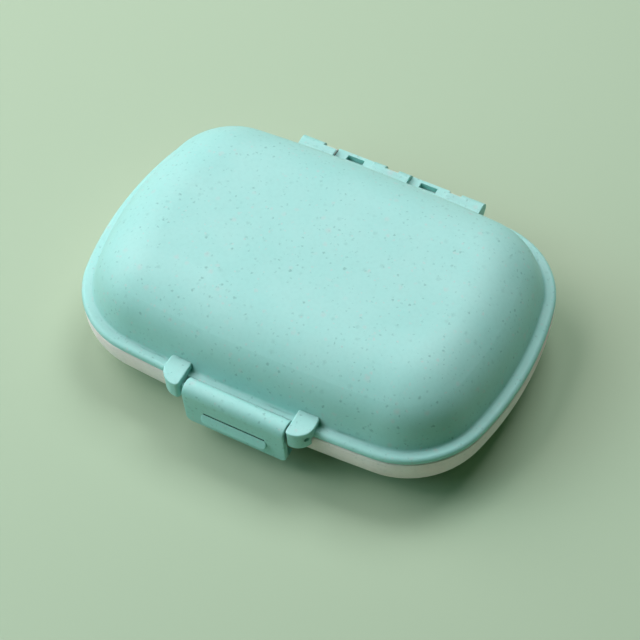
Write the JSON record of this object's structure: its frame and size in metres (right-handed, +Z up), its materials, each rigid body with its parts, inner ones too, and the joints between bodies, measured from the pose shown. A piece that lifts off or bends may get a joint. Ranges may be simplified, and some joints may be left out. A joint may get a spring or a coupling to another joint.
{
  "type": "pill organizer",
  "caption": "Pocket pill box: bowed rectangular tub with lift-out divided tray, domed lid on a rear pin hinge and a front snap latch over a soft seal.",
  "frame": {"origin": "on the resting surface under the middle of the tub's outline", "axes": "+Z up, the latch faces -Y, the hinge is at +Y, +X runs along the long side to the right as the latch is faced"},
  "size_m": [0.125, 0.0936, 0.0348],
  "materials": {
    "teal_plastic": "satin, finely speckled with darker and pinkish fibres",
    "white_plastic": "satin off-white with faint fine flecks",
    "tray_plastic": "satin milky white",
    "pin_plastic": "satin",
    "pin_steel": "drawn wire, dull",
    "seal_silicone": "soft translucent-looking silicone, matte"
  },
  "bodies": {
    "base": {"base_shell": "white_plastic", "compartment_tray": "tray_plastic", "divider_front_1": "tray_plastic", "divider_front_2": "tray_plastic", "divider_front_3": "tray_plastic", "divider_rear_1": "tray_plastic", "divider_rear_2": "tray_plastic", "divider_rear_3": "tray_plastic", "hinge_pins": "pin_steel"},
    "lid": {"lid_shell": "teal_plastic", "seal_ring": "seal_silicone", "latch_pin": "pin_plastic"},
    "latch": {"latch_flap": "teal_plastic"}
  },
  "joints": [
    {"name": "lid_hinge", "type": "hinge", "parent": "base", "child": "lid", "pos_m": [0, 0.0435, 0.017], "axis": [-1, 0, 0], "range_deg": [0, 175]},
    {"name": "latch_swing", "type": "hinge", "parent": "lid", "child": "latch", "pos_m": [-0.0005, -0.0441, 0.0179], "axis": [-1, 0, 0], "range_deg": [0, 180]}
  ]
}
